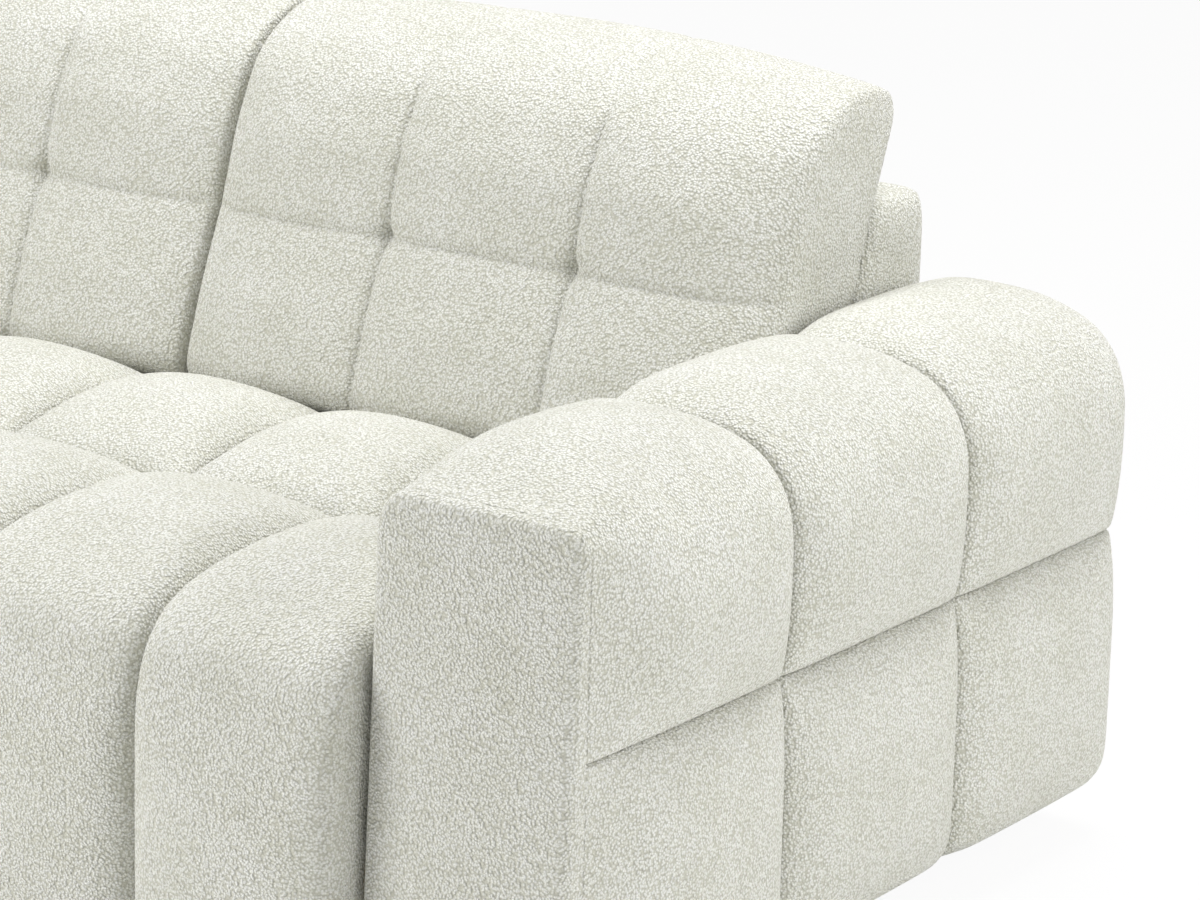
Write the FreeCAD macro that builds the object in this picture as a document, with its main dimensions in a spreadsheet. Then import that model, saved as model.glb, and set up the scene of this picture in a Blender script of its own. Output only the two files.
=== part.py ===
import FreeCAD, Part
import os
import Sketcher
from FreeCAD import Placement, Rotation, Vector

# Corner sofa: a two-seat section with a right arm, and a chaise section with a left arm.
# Millimetres, +X to the right as seen from the front, +Y to the back, +Z up.
# The origin is on the floor, at the middle of the whole outline.

SIZES = {
    # seats and their quilted cells
    "seat_width": 708,
    "seat_row": 291,
    "seat_height": 383,
    "seat_crown": 57,
    "seat_overhang": 40,
    "front_crown": 38,
    "front_edge_radius": 85,
    "seam_rise": 4,
    "side_padding": 20,
    "side_crown": 12,
    "side_drop": 14,
    # arms
    "arm_width": 226,
    "arm_depth": 955,
    "arm_seam_height": 321,
    "arm_edge_height": 537,
    "arm_crown": 45,
    "arm_bulge": 25,
    "arm_corner": 35,
    "arm_swell_corner": 36,
    "arm_front_padding": 12,
    "arm_rear_padding": 12,
    "arm_inner_padding": 20,
    "arm_outer_padding": 46,
    "arm_top_padding": 67,
    "arm_panel_edge": 5,
    # padded back and its loose cushions
    "back_height": 655,
    "back_depth": 210,
    "back_top_depth": 100,
    "back_top_radius": 30,
    "back_top_padding": 55,
    "back_rear_padding": 28,
    "back_end_padding": 25,
    "cushion_height": 415,
    "cushion_side_depth": 131,
    "cushion_swell": 46,
    "cushion_rise": 26,
    "cushion_cover": 6,
    # timber, cloth and webbing
    "rail_height": 150,
    "rail_thickness": 25,
    "post_thickness": 24,
    "post_width": 60,
    "post_inset": 95,
    "back_rail_height": 60,
    "arm_post_width": 80,
    "board_thickness": 12,
    "block_width": 60,
    "strap_width": 60,
    "strap_thickness": 1.5,
    "cloth_thickness": 1.5,
    # feet, bolts and connectors
    "floor_gap": 41,
    "foot_radius": 32,
    "foot_base_radius": 25,
    "foot_inset": 50,
    "bolt_diameter": 8,
    "bolt_head_width": 13,
    "bolt_head_height": 5.5,
    "bolt_grip": 35,
    "bolt_end_distance": 17,
    "connector_space": 8,
    "connector_width": 70,
    "connector_end_distance": 10,
    "socket_rise": 6,
    "socket_height": 40,
    "socket_wall": 2,
    "socket_slot": 3.4,
    "tongue_thickness": 2.5,
    "tongue_length": 36,
    "tongue_head_height": 30,
    "tongue_rest_gap": 3,
    # clearances
    "section_gap": 3,
    "fabric_gap": 2,
    "cushion_gap": 0.5,
    "core_clearance": 0.3,
    "bolt_clearance": 0.2,
}
CELLS = 3
CHAISE_ROWS = 2
ARM_COLUMNS = ("front", "middle", "rear")

doc = FreeCAD.newDocument("corner_sofa")
sheet = doc.addObject("Spreadsheet::Sheet", "Sizes")
for row, (alias, value) in enumerate(SIZES.items(), start=1):
    sheet.set(f"A{row}", alias)
    sheet.set(f"B{row}", str(value))
    sheet.setAlias(f"B{row}", alias)
doc.recompute()

# Places that several pieces share, as expressions of the sheet
ARM_FACE = "1.5 * Sizes.seat_width"
JOIN = "-0.5 * Sizes.seat_width"
CHAISE_REACH = f"{CHAISE_ROWS} * Sizes.seat_row"
BACK = f"(Sizes.arm_depth + {CHAISE_REACH} + Sizes.seat_overhang + Sizes.front_crown) / 2"
FRONT = f"{BACK} - Sizes.arm_depth"
CHAISE_FRONT = f"{FRONT} - {CHAISE_REACH}"
SEAT_REAR = f"{BACK} - Sizes.back_depth"
RAIL_BOTTOM = "Sizes.floor_gap + Sizes.cloth_thickness"
RAIL_TOP = f"{RAIL_BOTTOM} + Sizes.rail_height"
STRAP_TOP = f"{RAIL_TOP} + Sizes.strap_thickness"
SEAT_BOTTOM = f"{STRAP_TOP} + Sizes.strap_thickness"
REAR_RAIL_BACK = f"{BACK} - Sizes.back_rear_padding"
REAR_RAIL = f"{REAR_RAIL_BACK} - Sizes.rail_thickness"
WEBBING_RAIL = f"{SEAT_REAR} - Sizes.rail_thickness"
POST_TOP = "Sizes.back_height - Sizes.back_top_padding"
ARM_TIMBER_FRONT = f"{FRONT} + Sizes.arm_front_padding"
ARM_TIMBER_REAR = f"{BACK} - Sizes.arm_rear_padding"
ARM_TIMBER_INNER = f"{ARM_FACE} + Sizes.arm_inner_padding"
ARM_TIMBER_OUTER = f"{ARM_FACE} + Sizes.arm_width - Sizes.arm_outer_padding"
ARM_TIMBER_TOP = "Sizes.arm_edge_height - Sizes.arm_top_padding"
BOLT_HEIGHT = f"{RAIL_BOTTOM} + Sizes.rail_height / 2"
RIGHT_SEAT = (f"{JOIN} + Sizes.section_gap / 2", f"{ARM_FACE} - Sizes.fabric_gap")
CHAISE_SEAT = (f"-({ARM_FACE}) + Sizes.fabric_gap", f"{JOIN} - Sizes.section_gap / 2")
RIGHT_JOIN_FACE = f"{RIGHT_SEAT[0]} + Sizes.connector_space"
CHAISE_JOIN_FACE = CHAISE_SEAT[1]

sub_parts = []


def number(expression):
    return float(sheet.evalExpression(expression))


def keep(label, piece):
    piece.Label = label
    sub_parts.append(piece)


def bind_place(piece, corner):
    for axis, expression in zip("xyz", corner):
        piece.setExpression(f"Placement.Base.{axis}", expression)


def board(name, low, high):
    box = doc.addObject("Part::Box", name)
    for size, start, end in zip(("Length", "Width", "Height"), low, high):
        box.setExpression(size, f"{end} - ({start})")
    bind_place(box, low)
    return box


def group(name, pieces):
    compound = doc.addObject("Part::Compound", name)
    compound.Links = pieces
    return compound


def combine(kind, name, base, tool):
    result = doc.addObject(kind, name)
    result.Base = base
    result.Tool = tool
    return result


def mirrored(side, low, high):
    # a span measured outwards from the middle of the sofa, on the right (1) or the left (-1)
    return (low, high) if side > 0 else (f"-({high})", f"-({low})")


def rod(name, diameter, start, length, side):
    # a cylinder that runs sideways from start, to the right (1) or to the left (-1)
    cylinder = doc.addObject("Part::Cylinder", name)
    cylinder.setExpression("Radius", f"({diameter}) / 2")
    cylinder.setExpression("Height", length)
    cylinder.Placement = Placement(Vector(), Rotation(Vector(0, 1, 0), 90 * side))
    bind_place(cylinder, start)
    return cylinder


# The two sections: where their base starts and ends, and on which side their arm stands
def section(name, side, join_face, front):
    arm_rail = mirrored(side, f"{ARM_FACE} - Sizes.rail_thickness", ARM_FACE)
    join_inside = f"{join_face} + {side} * Sizes.rail_thickness"
    block_end = f"{join_inside} + {side} * Sizes.block_width"
    left, right = (join_face, ARM_FACE) if side > 0 else (f"-({ARM_FACE})", join_face)
    middle = f"({left} + {right}) / 2"
    return {
        "name": name, "side": side, "front": front, "front_inside": f"{front} + Sizes.rail_thickness",
        "left": left, "right": right, "middle": middle, "join_face": join_face,
        "arm_rail": arm_rail,
        "join_rail": (join_face, join_inside) if side > 0 else (join_inside, join_face),
        "join_block": (join_inside, block_end) if side > 0 else (block_end, join_inside),
        "inside": (join_inside, arm_rail[0]) if side > 0 else (arm_rail[1], join_inside),
        "cross_rail": (f"{middle} - Sizes.rail_thickness / 2", f"{middle} + Sizes.rail_thickness / 2"),
    }


RIGHT = section("right", 1, RIGHT_JOIN_FACE, FRONT)
CHAISE = section("chaise", -1, CHAISE_JOIN_FACE, CHAISE_FRONT)


# Front, rear, webbing and cross rails: plain boards on edge
def base_rails(part):
    name = part["name"]
    spans = {
        "front_rail": ((part["left"], part["right"]), (part["front"], part["front_inside"])),
        "rear_rail": ((part["left"], part["right"]), (REAR_RAIL, REAR_RAIL_BACK)),
        "webbing_rail": (part["inside"], (WEBBING_RAIL, SEAT_REAR)),
        "cross_rail": (part["cross_rail"], (part["front_inside"], WEBBING_RAIL)),
    }
    for rail, (across, along) in spans.items():
        low = (across[0], along[0], RAIL_BOTTOM)
        high = (across[1], along[1], RAIL_TOP)
        keep(f"{name}_{rail}", board(f"{name}_{rail}", low, high))


# Bolts go through the end rails: three into the arm posts, two into each connector
def arm_bolt_places():
    return {
        "front": f"{FRONT} + Sizes.rail_thickness + Sizes.bolt_end_distance",
        "middle": f"({FRONT} + {BACK}) / 2",
        "rear": f"{REAR_RAIL} - Sizes.bolt_end_distance",
    }


CONNECTOR_STARTS = {
    "front": f"{FRONT} + Sizes.rail_thickness + Sizes.block_width + Sizes.connector_end_distance",
    "rear": f"{WEBBING_RAIL} - Sizes.connector_end_distance - Sizes.connector_width",
}
SOCKET_LOW = f"{RAIL_BOTTOM} + Sizes.socket_rise"
SOCKET_TOP = f"{SOCKET_LOW} + Sizes.socket_height"
SOCKET_BOLT_HEIGHT = f"{SOCKET_LOW} + Sizes.socket_height / 2"
SOCKET_DEPTH = "2 * Sizes.socket_wall + Sizes.socket_slot"
TONGUE_LOW = f"{SOCKET_TOP} + Sizes.tongue_rest_gap"
TONGUE_BOLT_HEIGHT = f"{TONGUE_LOW} + Sizes.tongue_head_height / 2"


def connector_bolt_places(part):
    height = SOCKET_BOLT_HEIGHT if part is RIGHT else TONGUE_BOLT_HEIGHT
    places = {}
    for place, start in CONNECTOR_STARTS.items():
        places[f"{place}_near"] = (f"{start} + Sizes.bolt_head_width / 2", height)
        places[f"{place}_far"] = (f"{start} + Sizes.connector_width - Sizes.bolt_head_width / 2", height)
    return places


def bolt_holes(part):
    name = part["name"]
    side = part["side"]
    diameter = "Sizes.bolt_diameter + 2 * Sizes.bolt_clearance"
    arm_start = f"{side} * ({ARM_FACE} - 2 * Sizes.rail_thickness)"
    arm_length = "2 * Sizes.rail_thickness + Sizes.bolt_grip + Sizes.bolt_clearance"
    arm_holes = [rod(f"{name}_arm_hole_{place}", diameter, (arm_start, y, BOLT_HEIGHT), arm_length, side)
                 for place, y in arm_bolt_places().items()]
    join_start = f"{part['join_face']} + {side} * 2 * Sizes.rail_thickness"
    join_length = "2 * Sizes.rail_thickness + Sizes.connector_width"
    join_holes = [rod(f"{name}_join_hole_{place}", diameter, (join_start, y, z), join_length, -side)
                  for place, (y, z) in connector_bolt_places(part).items()]
    return group(f"{name}_arm_holes", arm_holes), group(f"{name}_join_holes", join_holes)


def end_rails(part):
    name = part["name"]
    for rail, across, holes in (("arm_rail", part["arm_rail"], part["arm_holes"]),
                                ("joining_rail", part["join_rail"], part["join_holes"])):
        low = (across[0], part["front_inside"], RAIL_BOTTOM)
        high = (across[1], REAR_RAIL, RAIL_TOP)
        blank = board(f"{name}_{rail}_blank", low, high)
        keep(f"{name}_{rail}", combine("Part::Cut", f"{name}_{rail}", blank, holes))


def bolt(name, start, length, side):
    # a hexagon head against its seat at start, and a shank that runs sideways from there
    head = doc.addObject("Part::Prism", f"{name}_head")
    head.Polygon = 6
    head.setExpression("Circumradius", "Sizes.bolt_head_width / sqrt(3)")
    head.setExpression("Height", "Sizes.bolt_head_height")
    head.Placement = Placement(Vector(), Rotation(Vector(0, 1, 0), 90 * side))
    bind_place(head, (f"{start[0]} - {side} * Sizes.bolt_head_height", start[1], start[2]))
    shank = rod(f"{name}_shank", "Sizes.bolt_diameter", start, length, side)
    return combine("Part::Fuse", name, head, shank)


def bolts(part):
    name = part["name"]
    side = part["side"]
    arm_seat = f"{side} * ({ARM_FACE} - Sizes.rail_thickness)"
    arm_length = "Sizes.rail_thickness + Sizes.bolt_grip"
    pieces = [bolt(f"{name}_arm_bolt_{place}", (arm_seat, y, BOLT_HEIGHT), arm_length, side)
              for place, y in arm_bolt_places().items()]
    join_seat = f"{part['join_face']} + {side} * Sizes.rail_thickness"
    join_length = f"Sizes.rail_thickness + {SOCKET_DEPTH}"
    pieces += [bolt(f"{name}_join_bolt_{place}", (join_seat, y, z), join_length, -side)
               for place, (y, z) in connector_bolt_places(part).items()]
    keep(f"{name}_bolts", group(f"{name}_bolts", pieces))


# Corner blocks at the join, beside the cross rail, and at the free front corner of the chaise
def block_spans(part):
    cross_side = part["cross_rail"][1]
    middle = (cross_side, f"{cross_side} + Sizes.block_width")
    front = (part["front_inside"], f"{part['front_inside']} + Sizes.block_width")
    rear = (f"{REAR_RAIL} - Sizes.block_width", REAR_RAIL)
    spans = {
        "join_front": (part["join_block"], front),
        "join_rear": (part["join_block"], rear),
        "middle_front": (middle, front),
        "middle_rear": (middle, rear),
    }
    if part is CHAISE:
        free_side = part["inside"][0]
        spans["free_front"] = ((free_side, f"{free_side} + Sizes.block_width"), front)
    return spans


def corner_blocks(part):
    name = part["name"]
    blocks = []
    for place, (across, along) in block_spans(part).items():
        low = (across[0], along[0], RAIL_BOTTOM)
        high = (across[1], along[1], RAIL_TOP)
        blocks.append(board(f"{name}_block_{place}", low, high))
    keep(f"{name}_corner_blocks", group(f"{name}_corner_blocks", blocks))


# Back posts stand against the rear rail and carry the back rail
def back_timber(part):
    name = part["name"]
    rail_low = f"{part['left']} + Sizes.post_inset"
    rail_high = f"{part['right']} - Sizes.post_inset"
    starts = (rail_low, f"{part['middle']} - 1.5 * Sizes.post_width", f"{rail_high} - Sizes.post_width")
    posts = []
    for index, start in enumerate(starts):
        low = (start, f"{REAR_RAIL} - Sizes.post_thickness", RAIL_BOTTOM)
        high = (f"{start} + Sizes.post_width", REAR_RAIL, POST_TOP)
        posts.append(board(f"{name}_back_post_{index}", low, high))
    keep(f"{name}_back_posts", group(f"{name}_back_posts", posts))
    low = (rail_low, REAR_RAIL, f"{POST_TOP} - Sizes.back_rail_height")
    high = (rail_high, REAR_RAIL_BACK, POST_TOP)
    keep(f"{name}_back_rail", board(f"{name}_back_rail", low, high))


# Elastic webbing: straps from front to back, and straps across on top of them
def strap_starts(low, high):
    count = int((number(high) - number(low)) / (2 * number("Sizes.strap_width")))
    return [f"{low} + ({high} - ({low})) * {index + 0.5} / {count} - Sizes.strap_width / 2"
            for index in range(count)]


def webbing(part):
    name = part["name"]
    straps = []
    for index, start in enumerate(strap_starts(*part["inside"])):
        low = (start, part["front"], RAIL_TOP)
        high = (f"{start} + Sizes.strap_width", SEAT_REAR, STRAP_TOP)
        straps.append(board(f"{name}_strap_{index}", low, high))
    for index, start in enumerate(strap_starts(part["front_inside"], WEBBING_RAIL)):
        low = (part["left"], start, STRAP_TOP)
        high = (part["right"], f"{start} + Sizes.strap_width", SEAT_BOTTOM)
        straps.append(board(f"{name}_cross_strap_{index}", low, high))
    keep(f"{name}_webbing", group(f"{name}_webbing", straps))


# Dust cover: a sheet of cloth under the base, widened to reach under the arm
def dust_cover(part):
    name = f"{part['name']}_dust_cover"
    low = (part["left"], part["front_inside"], "Sizes.floor_gap")
    high = (part["right"], REAR_RAIL_BACK, RAIL_BOTTOM)
    base_sheet = board(f"{name}_base", low, high)
    across = mirrored(part["side"], ARM_FACE, ARM_TIMBER_OUTER)
    low = (across[0], ARM_TIMBER_FRONT, "Sizes.floor_gap")
    high = (across[1], ARM_TIMBER_REAR, RAIL_BOTTOM)
    arm_sheet = board(f"{name}_arm", low, high)
    keep(name, combine("Part::Fuse", name, base_sheet, arm_sheet))


# Feet: moulded cones under the corner blocks and under the front and rear arm posts
def feet(part):
    name = part["name"]
    places = [(f"({across[0]} + {across[1]}) / 2", f"({along[0]} + {along[1]}) / 2")
              for across, along in block_spans(part).values()]
    arm_x = f"{part['side']} * ({ARM_FACE} + Sizes.foot_inset)"
    places.append((arm_x, f"{ARM_TIMBER_FRONT} + Sizes.arm_post_width / 2"))
    places.append((arm_x, f"{ARM_TIMBER_REAR} - Sizes.arm_post_width / 2"))
    cones = []
    for index, (x, y) in enumerate(places):
        cone = doc.addObject("Part::Cone", f"{name}_foot_{index}")
        cone.setExpression("Radius1", "Sizes.foot_base_radius")
        cone.setExpression("Radius2", "Sizes.foot_radius")
        cone.setExpression("Height", "Sizes.floor_gap")
        bind_place(cone, (x, y, "0"))
        cones.append(cone)
    keep(f"{name}_feet", group(f"{name}_feet", cones))


# Timber of one arm: posts notched for the inner padding, an outer panel and a top board
def arm_timber(part):
    name = f"{part['name']}_arm"
    side = part["side"]
    panel_inner = f"{ARM_TIMBER_OUTER} - Sizes.board_thickness"
    board_low = f"{ARM_TIMBER_TOP} - Sizes.board_thickness"
    post = mirrored(side, ARM_FACE, panel_inner)
    notch = mirrored(side, ARM_FACE, ARM_TIMBER_INNER)
    starts = (ARM_TIMBER_FRONT, f"({ARM_TIMBER_FRONT} + {ARM_TIMBER_REAR} - Sizes.arm_post_width) / 2",
              f"{ARM_TIMBER_REAR} - Sizes.arm_post_width")
    posts = []
    for index, start in enumerate(starts):
        end = f"{start} + Sizes.arm_post_width"
        blank = board(f"{name}_post_blank_{index}", (post[0], start, RAIL_BOTTOM), (post[1], end, board_low))
        gap = board(f"{name}_post_notch_{index}", (notch[0], start, RAIL_TOP), (notch[1], end, board_low))
        posts.append(combine("Part::Cut", f"{name}_post_{index}", blank, gap))
    blanks = group(f"{name}_post_blanks", posts)
    keep(f"{name}_posts", combine("Part::Cut", f"{name}_posts", blanks, part["arm_holes"]))
    panel = mirrored(side, panel_inner, ARM_TIMBER_OUTER)
    low = (panel[0], ARM_TIMBER_FRONT, RAIL_BOTTOM)
    high = (panel[1], ARM_TIMBER_REAR, board_low)
    keep(f"{name}_outer_panel", board(f"{name}_outer_panel", low, high))
    top = mirrored(side, ARM_TIMBER_INNER, ARM_TIMBER_OUTER)
    low = (top[0], ARM_TIMBER_FRONT, board_low)
    high = (top[1], ARM_TIMBER_REAR, ARM_TIMBER_TOP)
    keep(f"{name}_top_board", board(f"{name}_top_board", low, high))


for part in (RIGHT, CHAISE):
    part["arm_holes"], part["join_holes"] = bolt_holes(part)
    base_rails(part)
    end_rails(part)
    bolts(part)
    corner_blocks(part)
    back_timber(part)
    webbing(part)
    dust_cover(part)
    feet(part)
    arm_timber(part)

# Sectional connectors: flat sockets on the two-seat section, tongues that drop in on the chaise
sockets = []
tongues = []
for place, start in CONNECTOR_STARTS.items():
    end = f"{start} + Sizes.connector_width"
    slot_high = f"{RIGHT_JOIN_FACE} - Sizes.socket_wall"
    slot_low = f"{slot_high} - Sizes.socket_slot"
    slot_ends = (f"{start} + Sizes.bolt_head_width", f"{end} - Sizes.bolt_head_width")
    block = board(f"socket_block_{place}", (f"{slot_low} - Sizes.socket_wall", start, SOCKET_LOW),
                  (RIGHT_JOIN_FACE, end, SOCKET_TOP))
    slot = board(f"socket_slot_{place}", (slot_low, slot_ends[0], SOCKET_LOW),
                 (slot_high, slot_ends[1], SOCKET_TOP))
    sockets.append(combine("Part::Cut", f"socket_{place}", block, slot))
    blade_low = f"{slot_low} + (Sizes.socket_slot - Sizes.tongue_thickness) / 2"
    blade_high = f"{blade_low} + Sizes.tongue_thickness"
    head = board(f"tongue_head_{place}", (CHAISE_JOIN_FACE, start, TONGUE_LOW),
                 (blade_high, end, f"{TONGUE_LOW} + Sizes.tongue_head_height"))
    blade = board(f"tongue_blade_{place}",
                  (blade_low, f"{slot_ends[0]} + Sizes.fabric_gap", f"{TONGUE_LOW} - Sizes.tongue_length"),
                  (blade_high, f"{slot_ends[1]} - Sizes.fabric_gap", TONGUE_LOW))
    tongues.append(combine("Part::Fuse", f"tongue_{place}", head, blade))
socket_blanks = group("connector_socket_blanks", sockets)
tongue_blanks = group("connector_tongue_blanks", tongues)
keep("connector_sockets", combine("Part::Cut", "connector_sockets", socket_blanks, RIGHT["join_holes"]))
keep("connector_tongues", combine("Part::Cut", "connector_tongues", tongue_blanks, CHAISE["join_holes"]))


# Sketched bodies: a closed outline with every corner placed from the sheet
def outline_sketch(body, name, role, corners):
    sketch = body.newObject("Sketcher::SketchObject", name)
    plane = next(item for item in body.Origin.OriginFeatures if item.Role == role)
    sketch.AttachmentSupport = [(plane, "")]
    sketch.MapMode = "FlatFace"
    spots = [Vector(number(u), number(v), 0) for u, v in corners]
    count = len(spots)
    for index in range(count):
        sketch.addGeometry(Part.LineSegment(spots[index], spots[(index + 1) % count]))
    for index in range(count):
        sketch.addConstraint(Sketcher.Constraint("Coincident", index, 2, (index + 1) % count, 1))
    for index, spot in enumerate(corners):
        for kind, expression in zip(("DistanceX", "DistanceY"), spot):
            value = number(expression)
            constraint = sketch.addConstraint(Sketcher.Constraint(kind, -1, 1, index, 1, value))
            sketch.setExpression(f"Constraints[{constraint}]", expression)
    return sketch


def padded(body, name, sketch, length):
    pad = body.newObject("PartDesign::Pad", name)
    pad.Profile = sketch
    pad.setExpression("Length", length)
    return pad


def rounded(body, name, base, is_edge, radius):
    doc.recompute()
    edges = enumerate(base.Shape.Edges, start=1)
    chosen = [f"Edge{index}" for index, edge in edges if is_edge(edge.BoundBox)]
    fillet = body.newObject("PartDesign::Fillet", name)
    fillet.Base = (base, chosen)
    fillet.setExpression("Radius", radius)
    doc.recompute()
    return fillet


NEAR = 0.01


# Flat padded panel on the front of one arm
def arm_front_panel(part):
    name = f"{part['name']}_arm_front_panel"
    body = doc.addObject("PartDesign::Body", name)
    height = "Sizes.arm_edge_height - Sizes.floor_gap"
    corners = [("0", "0"), ("Sizes.arm_width", "0"), ("Sizes.arm_width", height), ("0", height)]
    sketch = outline_sketch(body, f"{name}_outline", "XZ_Plane", corners)
    pad = padded(body, f"{name}_pad", sketch, "Sizes.arm_front_padding")
    top = number(height)
    face = -number("Sizes.arm_front_padding")
    shoulders = rounded(body, f"{name}_shoulders", pad,
                        lambda box: box.ZMin > top - NEAR and box.YLength > NEAR, "Sizes.arm_corner")
    rounded(body, f"{name}_rim", shoulders, lambda box: box.YMax < face + NEAR, "Sizes.arm_panel_edge")
    across = mirrored(part["side"], ARM_FACE, f"{ARM_FACE} + Sizes.arm_width")
    bind_place(body, (across[0], ARM_TIMBER_FRONT, "Sizes.floor_gap"))
    keep(name, body)


# Padded back of one section: a wedge that leans back, hollow over the posts and the back rail
def back_pad(part, span):
    name = f"{part['name']}_back_pad"
    body = doc.addObject("PartDesign::Body", name)
    slot_rear = "Sizes.back_depth - Sizes.back_rear_padding"
    slot_front = f"{slot_rear} - Sizes.rail_thickness - Sizes.post_thickness"
    lean = "Sizes.back_depth - Sizes.back_top_depth"
    length = f"{span[1]} - ({span[0]})"
    sketch = outline_sketch(body, f"{name}_outline", "YZ_Plane", [
        ("0", RAIL_TOP), (slot_rear, RAIL_TOP), (slot_rear, "Sizes.floor_gap"),
        ("Sizes.back_depth", "Sizes.floor_gap"), ("Sizes.back_depth", "Sizes.back_height"),
        (lean, "Sizes.back_height"), ("0", "Sizes.seat_height")])
    pad = padded(body, f"{name}_pad", sketch, length)
    top = number("Sizes.back_height")
    rounded(body, f"{name}_top", pad, lambda box: box.ZMin > top - NEAR, "Sizes.back_top_radius")
    slot_low = "Sizes.back_end_padding"
    slot_high = f"{length} - Sizes.back_end_padding"
    slot_sketch = outline_sketch(body, f"{name}_slot_outline", "XY_Plane", [
        (slot_low, slot_front), (slot_high, slot_front), (slot_high, slot_rear), (slot_low, slot_rear)])
    slot = body.newObject("PartDesign::Pocket", f"{name}_slot")
    slot.Profile = slot_sketch
    slot.Reversed = True
    slot.setExpression("Length", POST_TOP)
    bind_place(body, (span[0], SEAT_REAR, "0"))
    keep(name, body)


arm_front_panel(RIGHT)
arm_front_panel(CHAISE)
back_pad(RIGHT, RIGHT_SEAT)
back_pad(CHAISE, CHAISE_SEAT)


# Soft pieces are lofts through outlines of lines and arcs
def swelling(start, end, outward):
    # an arc from start to end whose middle stands outward from the straight line
    return Part.Arc(start, (start + end) / 2 + outward, end).toShape()


def corner(start, knee, end):
    # a quarter arc from start to end, round the square knee between them
    middle = knee + (start + end - knee * 2) * (1 - 0.5 ** 0.5)
    return Part.Arc(start, middle, end).toShape()


def lines(*points):
    return [Part.makeLine(start, end) for start, end in zip(points, points[1:])]


def loft(wires):
    return Part.makeLoft(wires, True, False)


def keep_solid(label, shape):
    feature = doc.addObject("Part::Feature", label)
    feature.Shape = shape
    feature.Placement = Placement()
    keep(label, feature)


# How far a plump cell has swollen, at shares of its length from one seam to the next
CELL_SHAPE = ((0, 0), (0.1, 0.7), (0.5, 1), (0.9, 0.7), (1, 0))
# How far the end cells of an arm have swollen where they meet its front panel or its rear
END_SWELL = 0.3
# How much of a cell's crown is in its edges, and how much in the arc between them
EDGE_SHARE = 0.5
# How much of a cell's crown the rolled front edge of the seat keeps
LIP_SHARE = 0.9
LIP_ARC_SHARE = 0.35

arm_x = number(ARM_FACE)
front_y = number(FRONT)
arm_width = number("Sizes.arm_width")
arm_bulge = number("Sizes.arm_bulge")
arm_crown = number("Sizes.arm_crown")
arm_edge = number("Sizes.arm_edge_height")
arm_seam = number("Sizes.arm_seam_height")
arm_corner = number("Sizes.arm_corner")
floor_gap = number("Sizes.floor_gap")
seam_rise = number("Sizes.seam_rise")
seat_width = number("Sizes.seat_width")
seat_height = number("Sizes.seat_height")
seat_row = number("Sizes.seat_row")
seat_overhang = number("Sizes.seat_overhang")
seat_rear = number(SEAT_REAR)


# Cross-section of an upper arm cell: up the inner side, over the top and down the outer side
def upper_outline(side, y, swell):
    def point(out, up):
        return Vector(side * (arm_x + out), y, up)

    radius = arm_corner + number("Sizes.arm_swell_corner") * swell
    shoulder = arm_edge + arm_crown * swell * EDGE_SHARE
    outer = arm_width + arm_bulge * swell * EDGE_SHARE
    inner_foot = point(0, arm_seam)
    inner_top = point(0, shoulder - radius)
    top_start = point(radius, shoulder)
    top_end = point(outer - radius, shoulder)
    outer_top = point(outer, shoulder - radius)
    outer_foot = point(arm_width, arm_seam)
    crown = Vector(0, 0, arm_crown * swell * (1 - EDGE_SHARE) + seam_rise)
    bulge = Vector(side * (arm_bulge * swell * (1 - EDGE_SHARE / 2) + seam_rise), 0, 0)
    return Part.Wire([
        *lines(inner_foot, inner_top),
        corner(inner_top, point(0, shoulder), top_start),
        swelling(top_start, top_end, crown),
        corner(top_end, point(outer, shoulder), outer_top),
        swelling(outer_top, outer_foot, bulge),
        *lines(outer_foot, inner_foot),
    ])


# Cross-section of a lower arm cell: flat on top, swollen outside, rounded at the bottom
def lower_outline(side, y, swell):
    def point(out, up):
        return Vector(side * (arm_x + out), y, up)

    outer = arm_width + arm_bulge * swell * EDGE_SHARE
    inner_foot = point(0, floor_gap)
    outer_top = point(arm_width, arm_seam)
    outer_low = point(outer, floor_gap + arm_corner)
    outer_foot = point(outer - arm_corner, floor_gap)
    bulge = Vector(side * (arm_bulge * swell * (1 - EDGE_SHARE / 2) + seam_rise), 0, 0)
    return Part.Wire([
        *lines(inner_foot, point(0, arm_seam), outer_top),
        swelling(outer_top, outer_low, bulge),
        corner(outer_low, point(outer, floor_gap), outer_foot),
        *lines(outer_foot, inner_foot),
    ])


# Six cells of one arm, in three columns and two rows, hollow where the timber is
def arm_cells(part):
    side = part["side"]
    start = number(ARM_TIMBER_FRONT)
    timber_rear = number(ARM_TIMBER_REAR)
    timber_outer = number(ARM_TIMBER_OUTER)
    length = (number(BACK) - start) / len(ARM_COLUMNS)
    rows = {
        "upper": (upper_outline, number(ARM_TIMBER_INNER), number(ARM_TIMBER_TOP)),
        "lower": (lower_outline, arm_x, arm_seam),
    }
    for row, (outline, timber_inner, timber_top) in rows.items():
        low_x = min(side * timber_inner, side * timber_outer)
        timber = Part.makeBox(timber_outer - timber_inner, timber_rear - start, timber_top - floor_gap,
                              Vector(low_x, start, floor_gap))
        for column, place in enumerate(ARM_COLUMNS):
            swells = dict(CELL_SHAPE)
            if place == "front":
                swells[0] = END_SWELL
            if place == "rear":
                swells[1] = END_SWELL
            wires = [outline(side, start + (column + share) * length, swell)
                     for share, swell in swells.items()]
            keep_solid(f"{part['name']}_arm_{row}_{place}", loft(wires).cut(timber))


arm_cells(RIGHT)
arm_cells(CHAISE)


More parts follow.
